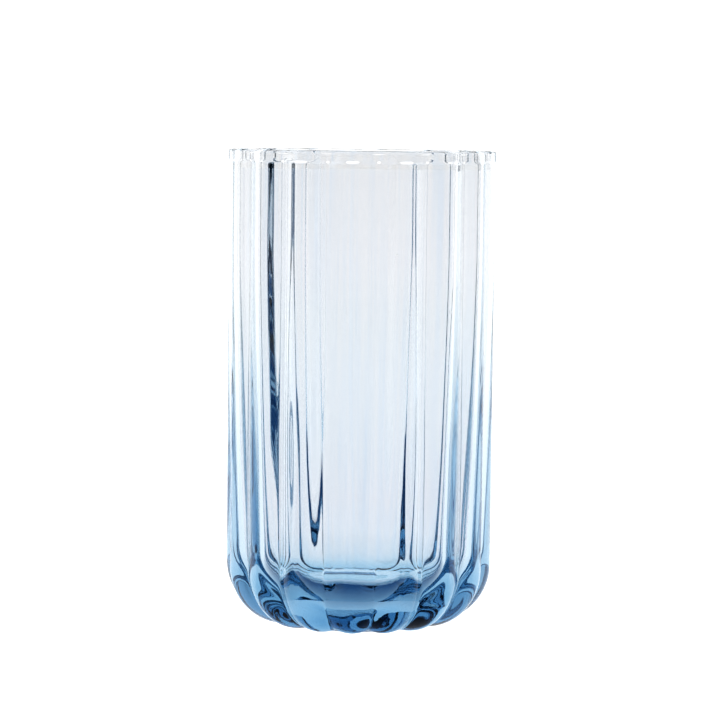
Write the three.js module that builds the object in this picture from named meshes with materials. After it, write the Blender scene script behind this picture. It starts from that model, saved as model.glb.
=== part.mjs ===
// A fluted glass bud vase, mould-blown in one piece: a nearly straight tumbler whose wall is a ring of
// rounded flutes with narrow creases between them, on a heavy base with a rounded heel. The lip is
// fire-polished, and the hollow holds water and stems. Millimetres, +Z up, and the origin is the
// centre of the foot, on the table.

import * as THREE from "three";

// Overall size: the lower body is a little slimmer than the top
const HEIGHT = 132;
const CREST_RADIUS = 37.3;
const TAPER = 0.1;
const TAPER_START = 60;
const TAPER_END = 110;

// Flutes: the outside has true creases, and the inside has waves that die out towards the floor
const FLUTES = 16;
const CREASE_DEPTH = 2.35;
const INNER_CREASE_DEPTH = 1.84;
const INNER_CREASE_GAIN = 0.35;
const INNER_CREASE_FADE = 52;
const INNER_CREASE_FADE_POWER = 0.385;
const STEPS_PER_FLUTE = 6;

// Base: a shallow hollow, a flat ring to stand on, and a round heel that the creases run down
const PUNT_RADIUS = 12;
const PUNT_DEPTH = 1;
const FOOT_RADIUS = 19;
const FOOT_CREASE_SHARE = 0.35;
const HEEL_RADIUS = 16.5;
const HEEL_FADE = 1.2;
const FLOOR_THICKNESS = 7;

// Hollow: the bowl is the rounded bottom of it, and the wall thins from the bowl upwards
const WALL_TOP_THICKNESS = 1.5;
const WALL_LOW_THICKNESS = 4.1;
const WALL_TOP_HEIGHT = 105;
const WALL_THINNING = 1.4;
const BOWL_TOP = 24;
const BOWL_SQUARENESS = 2.6;

// Lip: a round bead, a little proud of the wall, above a short neck
const LIP_THICKNESS = 1.7;
const LIP_HEIGHT = 2.6;
const LIP_BULGE = 0.1;
const NECK_HEIGHT = 0.9;
const LIP_BASE = HEIGHT - LIP_HEIGHT;
const NECK_BASE = LIP_BASE - NECK_HEIGHT;

// Steps along each stretch of the profile
const PUNT_STEPS = 2;
const HEEL_STEPS = 5;
const TAPER_STEPS = 2;
const LIP_STEPS = 4;
const THINNING_STEPS = 3;
const BOWL_STEPS = 6;

// Two shapes of a crease, by the share of the way from the crest to the crease: a parabola outside,
// which leaves a sharp line, and a wave inside and on the lip
const sharpCrease = (share) => share * share;
const waveCrease = (share) => (1 - Math.cos(Math.PI * share)) / 2;

// A station is one ring of the surface: where it passes under a crest, how far it shifts in towards
// the axis and up at a crease, and the shape of its creases.
function station(radius, height, creaseIn, creaseUp, shape) {
  return { radius, height, creaseIn, creaseUp, shape };
}

// The radius of the outside under a crest, at a height on the wall or the lip.
function crestRadius(height) {
  const swell = THREE.MathUtils.smoothstep(height, NECK_BASE, LIP_BASE);
  const widen = THREE.MathUtils.smoothstep(height, TAPER_START, TAPER_END);
  return CREST_RADIUS - LIP_BULGE * (1 - swell) - TAPER * (1 - widen);
}

// 0 in the upper wall, growing to 1 at the top of the bowl.
function thickening(height) {
  const share = (WALL_TOP_HEIGHT - height) / (WALL_TOP_HEIGHT - BOWL_TOP);
  return THREE.MathUtils.clamp(share, 0, 1);
}

function wallThickness(height) {
  const gain = thickening(height) ** WALL_THINNING;
  return THREE.MathUtils.lerp(WALL_TOP_THICKNESS, WALL_LOW_THICKNESS, gain);
}

// The inside's waves are deepest in the middle of the lower wall and gone at the floor.
function innerCreaseDepth(height) {
  const above = (height - FLOOR_THICKNESS) / (INNER_CREASE_FADE - FLOOR_THICKNESS);
  const fade = THREE.MathUtils.clamp(above, 0, 1) ** INNER_CREASE_FADE_POWER;
  return (INNER_CREASE_DEPTH + INNER_CREASE_GAIN * thickening(height)) * fade;
}

// The underside: from the axis out over the shallow hollow and the flat ring.
function footStations() {
  const stations = [];
  for (let i = 0; i <= PUNT_STEPS; i++) {
    const share = i / PUNT_STEPS;
    const height = PUNT_DEPTH * (1 - share * share);
    stations.push(station(PUNT_RADIUS * share, height, 0, 0, sharpCrease));
  }
  stations.push(station(FOOT_RADIUS, 0, 0, 0, sharpCrease));
  return stations;
}

// The heel: a quarter circle from the foot to the wall, where the creases grow to their full depth.
function heelStations() {
  const stations = [];
  const ringRadius = crestRadius(HEEL_RADIUS) - HEEL_RADIUS;
  for (let i = 0; i <= HEEL_STEPS; i++) {
    const turn = ((Math.PI / 2) * i) / HEEL_STEPS;
    const grown = THREE.MathUtils.smoothstep(turn, 0, HEEL_FADE);
    const depth = CREASE_DEPTH * THREE.MathUtils.lerp(FOOT_CREASE_SHARE, 1, grown);
    stations.push(
      station(
        ringRadius + HEEL_RADIUS * Math.sin(turn),
        HEEL_RADIUS * (1 - Math.cos(turn)),
        depth * Math.sin(turn),
        depth * Math.cos(turn),
        sharpCrease,
      ),
    );
  }
  return stations;
}

// The outside of the wall, from the heel up to the neck.
function outerWallStations() {
  const stations = [];
  for (let i = 0; i <= TAPER_STEPS; i++) {
    const height = THREE.MathUtils.lerp(TAPER_START, TAPER_END, i / TAPER_STEPS);
    stations.push(station(crestRadius(height), height, CREASE_DEPTH, 0, sharpCrease));
  }
  stations.push(station(crestRadius(NECK_BASE), NECK_BASE, CREASE_DEPTH, 0, sharpCrease));
  return stations;
}

// The lip: from the neck's outside, over a half circle and down to the neck's inside.
function lipStations() {
  const bead = LIP_THICKNESS / 2;
  const stations = [station(CREST_RADIUS, LIP_BASE, CREASE_DEPTH, 0, waveCrease)];
  for (let i = 0; i <= LIP_STEPS; i++) {
    const turn = (Math.PI * i) / LIP_STEPS;
    const radius = CREST_RADIUS - bead + bead * Math.cos(turn);
    const height = HEIGHT - bead + bead * Math.sin(turn);
    const depth = THREE.MathUtils.lerp(CREASE_DEPTH, INNER_CREASE_DEPTH, i / LIP_STEPS);
    stations.push(station(radius, height, depth, 0, waveCrease));
  }
  const inside = CREST_RADIUS - LIP_THICKNESS;
  stations.push(station(inside, LIP_BASE, INNER_CREASE_DEPTH, 0, waveCrease));
  return stations;
}

// The inside of the wall, going down from the neck to the bowl.
function innerWallStations() {
  const heights = [NECK_BASE];
  for (let i = 0; i < THINNING_STEPS; i++) {
    heights.push(THREE.MathUtils.lerp(WALL_TOP_HEIGHT, BOWL_TOP, i / THINNING_STEPS));
  }
  return heights.map((height) =>
    station(crestRadius(height) - wallThickness(height), height, innerCreaseDepth(height), 0, waveCrease),
  );
}

// The bowl: a squared quarter ellipse from the wall in to the middle of the floor.
function bowlStations() {
  const stations = [];
  const reach = crestRadius(BOWL_TOP) - WALL_LOW_THICKNESS;
  const drop = BOWL_TOP - FLOOR_THICKNESS;
  for (let i = 0; i <= BOWL_STEPS; i++) {
    const turn = ((Math.PI / 2) * i) / BOWL_STEPS;
    const across = Math.cos(turn) ** (2 / BOWL_SQUARENESS);
    const height = BOWL_TOP - drop * Math.sin(turn) ** (2 / BOWL_SQUARENESS);
    stations.push(station(reach * across, height, innerCreaseDepth(height), 0, waveCrease));
  }
  stations[BOWL_STEPS].radius = 0;
  return stations;
}

// The whole surface: the profile turned about the axis, then each ring drawn in at the creases.
function flutedGeometry(stations) {
  const profile = stations.map((s) => new THREE.Vector2(s.radius, s.height));
  const segments = FLUTES * STEPS_PER_FLUTE;
  const geometry = new THREE.LatheGeometry(profile, segments);
  const position = geometry.getAttribute("position");
  for (let i = 0; i < position.count; i++) {
    const { radius, height, creaseIn, creaseUp, shape } = stations[i % stations.length];
    const step = Math.floor(i / stations.length);
    const flute = step / STEPS_PER_FLUTE;
    const share = shape(2 * Math.abs(flute - Math.round(flute)));
    const angle = (2 * Math.PI * step) / segments;
    const drawn = Math.max(radius - creaseIn * share, 0);
    position.setXYZ(i, drawn * Math.sin(angle), height + creaseUp * share, drawn * Math.cos(angle));
  }
  geometry.rotateX(Math.PI / 2);
  geometry.computeVertexNormals();
  return geometry;
}

function vaseBody() {
  const stations = [
    ...footStations(),
    ...heelStations(),
    ...outerWallStations(),
    ...lipStations(),
    ...innerWallStations(),
    ...bowlStations(),
  ];
  const glass = new THREE.MeshStandardMaterial({
    color: 0xbcd6ee,
    roughness: 0.03,
    metalness: 0,
    transparent: true,
    opacity: 0.4,
  });
  const mesh = new THREE.Mesh(flutedGeometry(stations), glass);
  mesh.name = "vase_body";
  return mesh;
}

const vase = new THREE.Group();
vase.add(vaseBody());

export default vase;
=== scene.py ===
"""The looks of a fluted glass bud vase: clear at the lip, blue at the base, on a pale studio floor."""

import math

import bpy
import numpy as np
from mathutils import Matrix, Vector

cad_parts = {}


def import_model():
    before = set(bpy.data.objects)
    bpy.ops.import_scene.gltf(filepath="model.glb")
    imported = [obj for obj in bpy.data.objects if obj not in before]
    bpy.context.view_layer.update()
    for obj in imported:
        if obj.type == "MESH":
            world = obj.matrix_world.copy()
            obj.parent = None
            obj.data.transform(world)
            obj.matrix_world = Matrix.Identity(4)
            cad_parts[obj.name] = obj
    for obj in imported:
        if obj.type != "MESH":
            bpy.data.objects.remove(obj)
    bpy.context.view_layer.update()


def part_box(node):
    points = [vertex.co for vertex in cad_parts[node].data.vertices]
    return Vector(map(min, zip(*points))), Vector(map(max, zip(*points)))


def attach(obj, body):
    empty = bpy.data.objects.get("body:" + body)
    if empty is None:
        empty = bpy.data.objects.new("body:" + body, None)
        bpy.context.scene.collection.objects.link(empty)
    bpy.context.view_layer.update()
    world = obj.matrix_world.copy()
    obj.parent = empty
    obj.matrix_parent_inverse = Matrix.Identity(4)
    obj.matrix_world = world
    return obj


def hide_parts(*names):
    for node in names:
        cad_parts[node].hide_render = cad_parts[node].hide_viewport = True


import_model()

# Everything is in metres.
MM = 0.001
LOW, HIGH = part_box("vase_body")
HEIGHT = HIGH.z
CREST_RADIUS = (HIGH.x - LOW.x) / 2
TAPER = 0.1 * MM
TAPER_START = 60 * MM
TAPER_END = 110 * MM

# Flutes
FLUTES = 16
CREASE_DEPTH = 2.35 * MM
CREASE_ROUNDING = 0.068          # share of half a flute that the bottom of a crease takes up
OUTER_SOFTNESS = 0.03
INNER_CREASE_DEPTH = 1.84 * MM
INNER_CREASE_GAIN = 0.35 * MM
INNER_CREASE_FADE = 52 * MM      # height below which the inner creases fade away
INNER_CREASE_FADE_POWER = 0.385
STEPS_PER_FLUTE = 40
STEP_CROWDING = 1.5              # power that draws the steps together towards the creases

# Base
HEEL_RADIUS = 16.5 * MM
PUNT_RADIUS = 12 * MM
PUNT_DEPTH = 1 * MM
FOOT_RADIUS = 19 * MM
FOOT_CREASE_SHARE = 0.35
HEEL_FADE = 1.2                  # radians up the heel where the creases reach their full depth
FLOOR_THICKNESS = 7 * MM

# Hollow
WALL_TOP_THICKNESS = 1.5 * MM
WALL_LOW_THICKNESS = 4.1 * MM
WALL_THINNING = 1.4              # power of the height that the wall thins with
WALL_TOP_HEIGHT = 105 * MM
BOWL_TOP = 24 * MM
BOWL_SQUARENESS = 2.6

# Lip
LIP_THICKNESS = 1.7 * MM
LIP_HEIGHT = 2.6 * MM
LIP_BULGE = 0.1 * MM
LIP_BASE = HEIGHT - LIP_HEIGHT
NECK_HEIGHT = 0.9 * MM
NECK_BASE = LIP_BASE - NECK_HEIGHT
NECK_APPROACH = 1.5 * MM         # stretch of wall below the neck with close rings

# Rings of the mesh along each stretch of the profile
PUNT_RINGS = 6
FOOT_RINGS = 4
HEEL_RINGS = 28
WALL_RINGS = 22
NECK_RINGS = 14
BAND_RINGS = 6
LIP_RINGS = 17
BOWL_RINGS = 32

# Tint inside the glass
ABSORBED = (0.0, 0.42, 0.66, 1)
TINT_TOP = 22                    # per metre
TINT_LOW = 46
TINT_START = 50 * MM
TINT_END = 100 * MM

# Tint of the surface: share of the height and colour
SURFACE_TINTS = [
    (0.00, (0.50, 0.76, 0.88)),
    (0.09, (0.96, 0.942, 0.94)),
    (0.22, (0.99, 0.935, 0.918)),
    (0.40, (0.965, 0.932, 0.917)),
    (0.52, (0.930, 0.914, 0.907)),
    (0.64, (0.903, 0.895, 0.890)),
    (0.76, (0.893, 0.884, 0.883)),
    (0.96, (0.880, 0.870, 0.866)),
]
GLASS_IOR = 1.5

# Fine relief of the glass
STREAK_SCALE = 420.0             # per metre
STREAK_STRETCH = 0.03            # how little the streaks vary with height
STREAK_DEPTH = 0.015 * MM
STREAK_COLOUR = (0.93, 0.965, 1.0, 1)
STREAK_FAINT = 0.5               # levels of the noise where a streak's colour starts and is full
STREAK_FULL = 0.75
SEED_SCALE = 70.0                # per metre
SEED_SIZE = 0.035                # share of a cell
SEED_DEPTH = 0.1 * MM
SEED_CHANCE = 0.2                # share of the cells that hold a bubble
SEED_CHANCE_BLUR = 0.01

# Studio, which turns with the camera: a white room ahead of it and a dark one behind it
ROOM_DARK = (0.008, 0.035, 0.08)
ROOM_LIGHT = (1.33, 1.33, 1.33)
ROOM_TURN = math.radians(18.6)   # how far the white half is turned to the left
ROOM_EDGE = 0.015                # camera depth of the direction where the white ends
ROOM_BLUR = 0.06

# Paper that the vase stands on, with painted shade under and in front of the foot
FLOOR_RADIUS = 8
FLOOR_SIDES = 64
PAPER_GLOW = 1.33
PAINTED_SHADE_START = -33 * MM           # depth behind the middle of the foot where the painted shade in front of the vase ends
PAINTED_SHADE_END = -3 * MM
PAPER_COLOUR = (0.02, 0.03, 0.04, 1)
# Colour of the painted shade on the paper: the painted contact shadow under the foot, and the painted
# shade in front of the vase that the glass sees
PAINTED_SHADE_COLOUR = (0.025, 0.10, 0.23)
PAPER_WHITE = (1, 1, 1)
PAPER_ROUGHNESS = 0.9
# Painted contact shadow that the camera sees under the foot: dark within the first radius, white from
# the second
SHADE_RADIUS = 17 * MM
SHADE_REACH = 21 * MM

# Camera
SENSOR_WIDTH = 36                # millimetres, as the lens is
CAMERA_DISTANCE = 5.9 * HEIGHT
CAMERA_AZIMUTH = math.radians(3.8)
CAMERA_RISE = 0.009              # height above the lip, as a share of the distance
CAMERA_ROLL = math.radians(0.6)
AIM_HEIGHT = HEIGHT / 2 + 7.4 * MM
VASE_SHARE = 0.37194             # share of the picture's width that the vase fills


def smoothstep(x, a, b):
    t = np.clip((x - a) / (b - a), 0, 1)
    return t * t * (3 - 2 * t)


def stations(radius, height, crease_in, crease_up, softness):
    """Rings of the surface, one row each: radius and height under a crest, the shift at a crease
    towards the axis and up, and how soft the crease is (0 sharp, 1 a wave)."""
    n = len(radius)
    columns = [radius, height, crease_in, crease_up, softness]
    return np.stack([np.broadcast_to(c, n) for c in columns], axis=1)


def lip_share(height):
    """0 on the wall and 1 in the fire-polished lip above the neck."""
    return smoothstep(height, NECK_BASE, LIP_BASE)


def crest_radius(height):
    upper = CREST_RADIUS - LIP_BULGE * (1 - lip_share(height))
    return upper - TAPER * (1 - smoothstep(height, TAPER_START, TAPER_END))


def outer_softness(height):
    """The lip's creases are melted into waves."""
    return OUTER_SOFTNESS + (1 - OUTER_SOFTNESS) * lip_share(height)


def thickening(height):
    """0 in the upper wall, growing to 1 at the top of the bowl."""
    return np.clip((WALL_TOP_HEIGHT - height) / (WALL_TOP_HEIGHT - BOWL_TOP), 0, 1)


def wall_thickness(height):
    gain = thickening(height) ** WALL_THINNING
    wall = WALL_TOP_THICKNESS + (WALL_LOW_THICKNESS - WALL_TOP_THICKNESS) * gain
    return wall + (LIP_THICKNESS - wall) * lip_share(height)


def inner_crease_depth(height):
    """Deepest in the middle of the lower wall and gone at the floor."""
    above_floor = np.clip((height - FLOOR_THICKNESS) / (INNER_CREASE_FADE - FLOOR_THICKNESS), 0, 1)
    full = INNER_CREASE_DEPTH + INNER_CREASE_GAIN * thickening(height)
    return full * above_floor ** INNER_CREASE_FADE_POWER


def wall_heights(low):
    """Ring heights from low up to where the lip starts to round, close together about the neck."""
    straight = np.linspace(low, NECK_BASE - NECK_APPROACH, WALL_RINGS)
    turn_in = np.linspace(NECK_BASE - NECK_APPROACH, LIP_BASE, NECK_RINGS)[1:]
    band = np.linspace(LIP_BASE, HEIGHT - LIP_THICKNESS / 2, BAND_RINGS)[1:]
    return np.concatenate([straight, turn_in, band])


def underside():
    """The shallow hollow underneath and the flat ring about it."""
    share = np.linspace(0, 1, PUNT_RINGS)
    punt = stations(PUNT_RADIUS * share, PUNT_DEPTH * (1 - share**2), 0, 0, 0)
    ring = stations(np.linspace(PUNT_RADIUS, FOOT_RADIUS, FOOT_RINGS)[1:], 0, 0, 0, 0)
    return np.concatenate([punt, ring])


def heel():
    """A quarter circle from the foot to the wall, where the creases grow to their full depth."""
    turn = np.linspace(0, math.pi / 2, HEEL_RINGS)
    grown = smoothstep(turn, 0, HEEL_FADE)
    depth = CREASE_DEPTH * (FOOT_CREASE_SHARE + (1 - FOOT_CREASE_SHARE) * grown)
    ring = crest_radius(HEEL_RADIUS) - HEEL_RADIUS
    return stations(ring + HEEL_RADIUS * np.sin(turn), HEEL_RADIUS * (1 - np.cos(turn)),
                    depth * np.sin(turn), depth * np.cos(turn), OUTER_SOFTNESS)


def outer_wall():
    height = wall_heights(HEEL_RADIUS)[1:]
    return stations(crest_radius(height), height, CREASE_DEPTH, 0, outer_softness(height))


def lip():
    """The round bead, from the outside over the top to the inside."""
    turn = np.linspace(0, math.pi, LIP_RINGS)[1:-1]
    bead = LIP_THICKNESS / 2
    height = HEIGHT - bead + bead * np.sin(turn)
    across = turn / math.pi
    depth = CREASE_DEPTH + (INNER_CREASE_DEPTH - CREASE_DEPTH) * across
    return stations(CREST_RADIUS - bead + bead * np.cos(turn), height, depth, 0, 1)


def inner_wall():
    height = wall_heights(BOWL_TOP)[::-1]
    radius = crest_radius(height) - wall_thickness(height)
    return stations(radius, height, inner_crease_depth(height), 0, 1)


def bowl():
    """The rounded bottom of the hollow: a squared quarter ellipse."""
    turn = np.linspace(0, math.pi / 2, BOWL_RINGS)[1:]
    across = np.cos(turn) ** (2 / BOWL_SQUARENESS)
    down = np.sin(turn) ** (2 / BOWL_SQUARENESS)
    across[-1] = 0
    height = BOWL_TOP - (BOWL_TOP - FLOOR_THICKNESS) * down
    radius = (crest_radius(BOWL_TOP) - WALL_LOW_THICKNESS) * across
    return stations(radius, height, inner_crease_depth(height), 0, 1)


def angles():
    """Directions round the vase, closer together towards the creases."""
    steps = np.arange(STEPS_PER_FLUTE) / STEPS_PER_FLUTE * 2 - 1
    spread = np.sign(steps) * (1 - (1 - np.abs(steps)) ** STEP_CROWDING)
    crests = np.arange(FLUTES)[:, None]
    return ((crests + spread[None, :] / 2) * 2 * math.pi / FLUTES).ravel()


def creaseness(angle, softness):
    """0 on the crest of a flute and 1 at the crease beside it."""
    pitch = 2 * math.pi / FLUTES
    from_crest = np.abs(angle / pitch - np.round(angle / pitch)) * 2
    w = CREASE_ROUNDING
    sharp = (1 - np.sqrt((1 - from_crest) ** 2 + w * w) + w) ** 2
    wave = (1 - np.cos(math.pi * from_crest)) / 2
    return sharp * (1 - softness) + wave * softness


def vase_mesh():
    """The profile turned about the axis, drawn in at the creases and closed at both poles."""
    rings = np.concatenate([underside(), heel(), outer_wall(), lip(), inner_wall(), bowl()])
    around = FLUTES * STEPS_PER_FLUTE
    angle = angles()
    inner = rings[1:-1]
    share = creaseness(angle[None, :], inner[:, 4:5])
    radius = inner[:, 0:1] - inner[:, 2:3] * share
    height = inner[:, 1:2] + inner[:, 3:4] * share
    points = np.stack([radius * np.sin(angle), -radius * np.cos(angle), height], axis=2).reshape(-1, 3)
    poles = np.array([[0, 0, rings[0, 1]], [0, 0, rings[-1, 1]]])
    index = np.arange(len(inner) * around).reshape(len(inner), around)
    here, there = index, np.roll(index, -1, axis=1)
    quads = np.stack([here[:-1], there[:-1], there[1:], here[1:]], axis=2).reshape(-1, 4)
    low_pole, high_pole = len(points), len(points) + 1
    fans = [(low_pole, b, a) for a, b in zip(here[0], there[0])]
    fans += [(high_pole, a, b) for a, b in zip(here[-1], there[-1])]
    mesh = bpy.data.meshes.new("glass_vase")
    mesh.from_pydata(np.concatenate([points, poles]).tolist(), [], quads.tolist() + fans)
    mesh.shade_smooth()
    mesh.validate()
    return mesh


def add_node(tree, kind, **inputs):
    """A shader node; each named input gets a value or a link from a socket."""
    node = tree.nodes.new(kind)
    for name, value in inputs.items():
        socket = node.inputs[name.replace("_", " ")]
        if isinstance(value, bpy.types.NodeSocket):
            tree.links.new(value, socket)
        else:
            socket.default_value = value
    return node


def add_math(tree, operation, first, second):
    """A math node; each input is a socket or a number."""
    node = tree.nodes.new("ShaderNodeMath")
    node.operation = operation
    for socket, value in zip(node.inputs, (first, second)):
        if isinstance(value, bpy.types.NodeSocket):
            tree.links.new(value, socket)
        else:
            socket.default_value = value
    return node.outputs[0]


def rise(tree, value, start, end):
    """0 up to start and 1 from end, smooth between."""
    level = add_node(tree, "ShaderNodeMapRange", Value=value, From_Min=start, From_Max=end)
    level.interpolation_type = "SMOOTHSTEP"
    return level.outputs[0]


def blend_colours(tree, level, dark, light):
    mix = tree.nodes.new("ShaderNodeMix")
    mix.data_type = "RGBA"
    mix.inputs["A"].default_value = (*dark, 1)
    mix.inputs["B"].default_value = (*light, 1)
    tree.links.new(level, mix.inputs["Factor"])
    return mix.outputs["Result"]


def camera_space(tree):
    """The place or direction as the camera has it: X to the right, Z ahead."""
    seen = tree.nodes.new("ShaderNodeTexCoord").outputs["Camera"]
    return add_node(tree, "ShaderNodeSeparateXYZ", Vector=seen)


def streaks(tree, position):
    """Faint drawn lines running up the glass."""
    place = add_node(tree, "ShaderNodeMapping", Vector=position, Scale=(1, 1, STREAK_STRETCH))
    return add_node(tree, "ShaderNodeTexNoise", Vector=place.outputs[0], Scale=STREAK_SCALE,
                    Detail=2.0, Roughness=0.4).outputs[0]


def seeds(tree, position):
    """Small bubbles, one in some of the cells of a random pattern: 1 in a bubble and 0 outside."""
    cells = add_node(tree, "ShaderNodeTexVoronoi", Vector=position, Scale=SEED_SCALE)
    chance = add_node(tree, "ShaderNodeSeparateColor", Color=cells.outputs["Color"])
    empty = 1 - SEED_CHANCE
    chosen = add_node(tree, "ShaderNodeMapRange", Value=chance.outputs[0],
                      From_Min=empty, From_Max=empty + SEED_CHANCE_BLUR)
    inside = add_node(tree, "ShaderNodeMapRange", Value=cells.outputs["Distance"],
                      From_Min=SEED_SIZE, From_Max=0.0)
    return add_math(tree, "MULTIPLY", chosen.outputs[0], inside.outputs[0])


def relief(tree, position):
    """The glass's fine relief as a normal."""
    lines = add_node(tree, "ShaderNodeBump", Height=streaks(tree, position), Strength=1.0,
                     Distance=STREAK_DEPTH)
    bubbles = add_node(tree, "ShaderNodeBump", Height=seeds(tree, position), Strength=1.0,
                       Distance=SEED_DEPTH, Normal=lines.outputs[0])
    return bubbles.outputs[0]


def tint_at_height(tree, height):
    """The colour that the surface lets through, from the foot up to the lip."""
    level = add_node(tree, "ShaderNodeMapRange", Value=height, From_Max=HEIGHT)
    tint = add_node(tree, "ShaderNodeValToRGB", Fac=level.outputs[0])
    elements = tint.color_ramp.elements
    while len(elements) < len(SURFACE_TINTS):
        elements.new(0.5)
    for element, (place, colour) in zip(elements, SURFACE_TINTS):
        element.position = place
        element.color = (*colour, 1)
    return tint.outputs["Color"]


def streaked(tree, colour, position):
    """The colour with faint bluer lines in it."""
    strength = add_node(tree, "ShaderNodeMapRange", Value=streaks(tree, position),
                        From_Min=STREAK_FAINT, From_Max=STREAK_FULL)
    mix = tree.nodes.new("ShaderNodeMix")
    mix.data_type = "RGBA"
    mix.blend_type = "MULTIPLY"
    mix.inputs["B"].default_value = STREAK_COLOUR
    tree.links.new(strength.outputs[0], mix.inputs["Factor"])
    tree.links.new(colour, mix.inputs["A"])
    return mix.outputs["Result"]


def glass():
    """Glass that is nearly clear at the lip and blue at the base. The blue is inside it, so an edge
    or a thick base is deeper blue than the wall."""
    material = bpy.data.materials.new("tinted_glass")
    material.use_nodes = True
    tree = material.node_tree
    tree.nodes.clear()
    position = tree.nodes.new("ShaderNodeTexCoord").outputs["Object"]
    height = add_node(tree, "ShaderNodeSeparateXYZ", Vector=position).outputs["Z"]
    colour = streaked(tree, tint_at_height(tree, height), position)
    shader = add_node(tree, "ShaderNodeBsdfPrincipled", Base_Color=colour, Roughness=0.0,
                      Transmission_Weight=1.0, IOR=GLASS_IOR, Normal=relief(tree, position))
    density = add_node(tree, "ShaderNodeMapRange", Value=height, From_Min=TINT_END,
                       From_Max=TINT_START, To_Min=TINT_TOP, To_Max=TINT_LOW)
    absorb = add_node(tree, "ShaderNodeVolumeAbsorption", Color=ABSORBED, Density=density.outputs[0])
    add_node(tree, "ShaderNodeOutputMaterial", Surface=shader.outputs[0], Volume=absorb.outputs[0])
    return material


def depth_behind_foot(tree):
    """How much farther from the camera a place is than the middle of the foot."""
    foot = add_node(tree, "ShaderNodeVectorTransform", Vector=(0, 0, 0))
    foot.vector_type = "POINT"
    foot.convert_from = "WORLD"
    foot.convert_to = "CAMERA"
    foot_depth = add_node(tree, "ShaderNodeSeparateXYZ", Vector=foot.outputs[0]).outputs["Z"]
    return add_math(tree, "SUBTRACT", camera_space(tree).outputs["Z"], foot_depth)


def distance_from_foot(tree):
    place = tree.nodes.new("ShaderNodeTexCoord").outputs["Object"]
    measure = tree.nodes.new("ShaderNodeVectorMath")
    measure.operation = "LENGTH"
    tree.links.new(place, measure.inputs[0])
    return measure.outputs["Value"]


def paper():
    """Glowing paper. The camera sees it white, with a painted shadow under the foot. Light that
    reaches the camera by way of the glass sees painted shade on it in front of the vase and white
    paper behind."""
    material = bpy.data.materials.new("paper")
    material.use_nodes = True
    tree = material.node_tree
    shader = tree.nodes["Principled BSDF"]
    shader.inputs["Base Color"].default_value = PAPER_COLOUR
    shader.inputs["Roughness"].default_value = PAPER_ROUGHNESS
    shader.inputs["Specular IOR Level"].default_value = 0
    shader.inputs["Emission Strength"].default_value = PAPER_GLOW
    # Painted shade: for rays through the glass the paper is dark in front of the vase; for the camera
    # there is a painted contact shadow under the foot
    painted_shade_through_glass = rise(tree, depth_behind_foot(tree), PAINTED_SHADE_START, PAINTED_SHADE_END)
    painted_contact_shadow = rise(tree, distance_from_foot(tree), SHADE_RADIUS, SHADE_REACH)
    path = tree.nodes.new("ShaderNodeLightPath")
    level = add_node(tree, "ShaderNodeMix", Factor=path.outputs["Is Camera Ray"],
                     A=painted_shade_through_glass, B=painted_contact_shadow)
    glow_with_painted_shade = blend_colours(tree, level.outputs["Result"], PAINTED_SHADE_COLOUR, PAPER_WHITE)
    tree.links.new(glow_with_painted_shade, shader.inputs["Emission Color"])
    return material


def floor():
    """A large pale sheet of paper that the vase stands on."""
    bpy.ops.mesh.primitive_circle_add(vertices=FLOOR_SIDES, radius=FLOOR_RADIUS, fill_type="NGON")
    plane = bpy.context.object
    plane.name = "floor"
    plane.data.materials.append(paper())


def world():
    """The room: white ahead of the camera and dark behind it."""
    made = bpy.data.worlds.new("studio")
    bpy.context.scene.world = made
    made.use_nodes = True
    tree = made.node_tree
    tree.nodes.clear()
    direction = camera_space(tree)
    ahead = add_math(tree, "MULTIPLY", direction.outputs["Z"], math.cos(ROOM_TURN))
    left = add_math(tree, "MULTIPLY", direction.outputs["X"], -math.sin(ROOM_TURN))
    toward = add_math(tree, "ADD", ahead, left)
    level = rise(tree, toward, ROOM_EDGE - ROOM_BLUR, ROOM_EDGE + ROOM_BLUR)
    colour = blend_colours(tree, level, ROOM_DARK, ROOM_LIGHT)
    background = add_node(tree, "ShaderNodeBackground", Color=colour)
    add_node(tree, "ShaderNodeOutputWorld", Surface=background.outputs[0])


def camera():
    """A long lens a little above the lip, aimed just above the middle of the vase."""
    data = bpy.data.cameras.new("camera")
    data.sensor_width = SENSOR_WIDTH
    data.lens = SENSOR_WIDTH * CAMERA_DISTANCE * VASE_SHARE / (2 * CREST_RADIUS)
    placed = bpy.data.objects.new("camera", data)
    bpy.context.scene.collection.objects.link(placed)
    eye = Vector((math.sin(CAMERA_AZIMUTH) * CAMERA_DISTANCE,
                  -math.cos(CAMERA_AZIMUTH) * CAMERA_DISTANCE,
                  HEIGHT + CAMERA_RISE * CAMERA_DISTANCE))
    forward = (Vector((0, 0, AIM_HEIGHT)) - eye).normalized()
    turn = forward.to_track_quat("-Z", "Y").to_matrix().to_4x4()
    roll = Matrix.Rotation(CAMERA_ROLL, 4, "Z")
    placed.rotation_mode = "QUATERNION"
    placed.matrix_world = Matrix.Translation(eye) @ turn @ roll
    bpy.context.scene.camera = placed


vase = bpy.data.objects.new("vase_body_glass", vase_mesh())
bpy.context.scene.collection.objects.link(vase)
vase.data.materials.append(glass())
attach(vase, "root")
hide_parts("vase_body")

floor()
world()
camera()

scene = bpy.context.scene
scene.view_settings.view_transform = "Standard"
scene.view_settings.gamma = 0.8
scene.cycles.max_bounces = 24
scene.cycles.transmission_bounces = 24
scene.cycles.glossy_bounces = 12
scene.cycles.use_denoising = True
